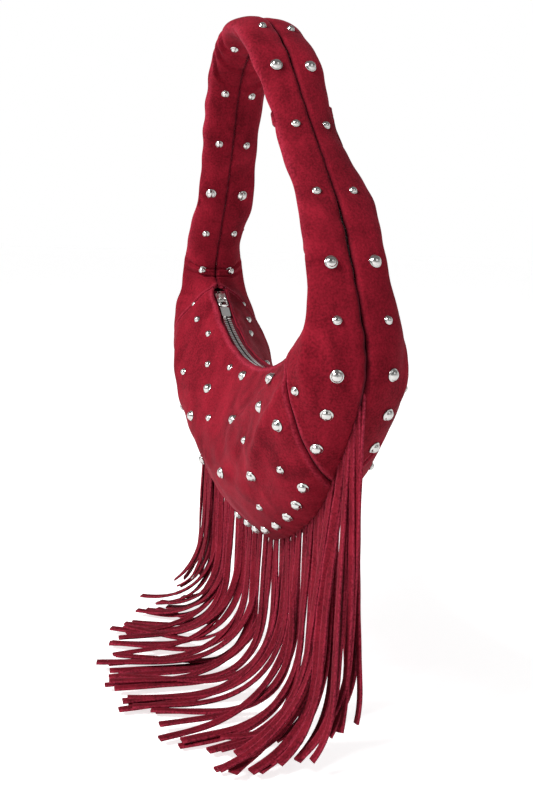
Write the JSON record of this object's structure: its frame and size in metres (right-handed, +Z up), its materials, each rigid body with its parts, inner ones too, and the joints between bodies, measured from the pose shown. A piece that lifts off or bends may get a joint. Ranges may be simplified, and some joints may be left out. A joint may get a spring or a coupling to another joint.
{
  "type": "hobo bag",
  "caption": "Soft crescent shoulder bag whose body runs up into its padded strap, with a curved zip, domed studs and a long suede fringe under the bottom seam.",
  "frame": {"origin": "underside of the strap's crown, where a hook or a shoulder bears, in the bag's middle", "axes": "+Z up, X along the zip with its closed end at -X, -Y towards the front panel"},
  "size_m": [0.4455, 0.1836, 0.5665],
  "materials": {
    "suede": "napped suede, deep red",
    "suede_fringe": "suede strips, deep red",
    "lining": "woven lining cloth",
    "padding": "foam sheet",
    "stay_tape": "woven tape",
    "zip_tape": "woven zip tape",
    "zip_metal": "polished nickel",
    "stud_metal": "polished nickel"
  },
  "bodies": {
    "root": {"back_body_large_studs": "stud_metal", "back_body_panel": "suede", "back_body_small_studs": "stud_metal", "back_body_stud_backs": "stud_metal", "back_lining": "lining", "back_strap_large_studs": "stud_metal", "back_strap_panel": "suede", "back_strap_small_studs": "stud_metal", "back_strap_stud_backs": "stud_metal", "back_zip_tape": "zip_tape", "back_zip_teeth": "zip_metal", "fringe": "suede_fringe", "front_body_large_studs": "stud_metal", "front_body_panel": "suede", "front_body_small_studs": "stud_metal", "front_body_stud_backs": "stud_metal", "front_lining": "lining", "front_strap_large_studs": "stud_metal", "front_strap_panel": "suede", "front_strap_small_studs": "stud_metal", "front_strap_stud_backs": "stud_metal", "front_zip_tape": "zip_tape", "front_zip_teeth": "zip_metal", "inner_strap_padding": "padding", "outer_strap_padding": "padding", "slip_pocket": "lining", "strap_stay_tape": "stay_tape", "zip_bottom_stop": "zip_metal", "zip_top_stops": "zip_metal"},
    "slider": {"zip_slider": "zip_metal"},
    "pull_link": {"zip_pull_link": "zip_metal"},
    "pull_tab": {"zip_pull_tab": "zip_metal"}
  },
  "joints": [
    {"name": "zip_travel", "type": "hinge", "parent": "root", "child": "slider", "pos_m": [0, 0, -0.07764], "axis": [0, -1, 0], "range_deg": [0, 77]},
    {"name": "link_swing", "type": "hinge", "parent": "slider", "child": "pull_link", "pos_m": [-0.12484, 0, -0.21209], "axis": [0, -1, 0], "range_deg": [0, 150]},
    {"name": "tab_swing", "type": "hinge", "parent": "pull_link", "child": "pull_tab", "pos_m": [-0.11758, 0, -0.21898], "axis": [0, -1, 0], "range_deg": [0, 50]}
  ]
}
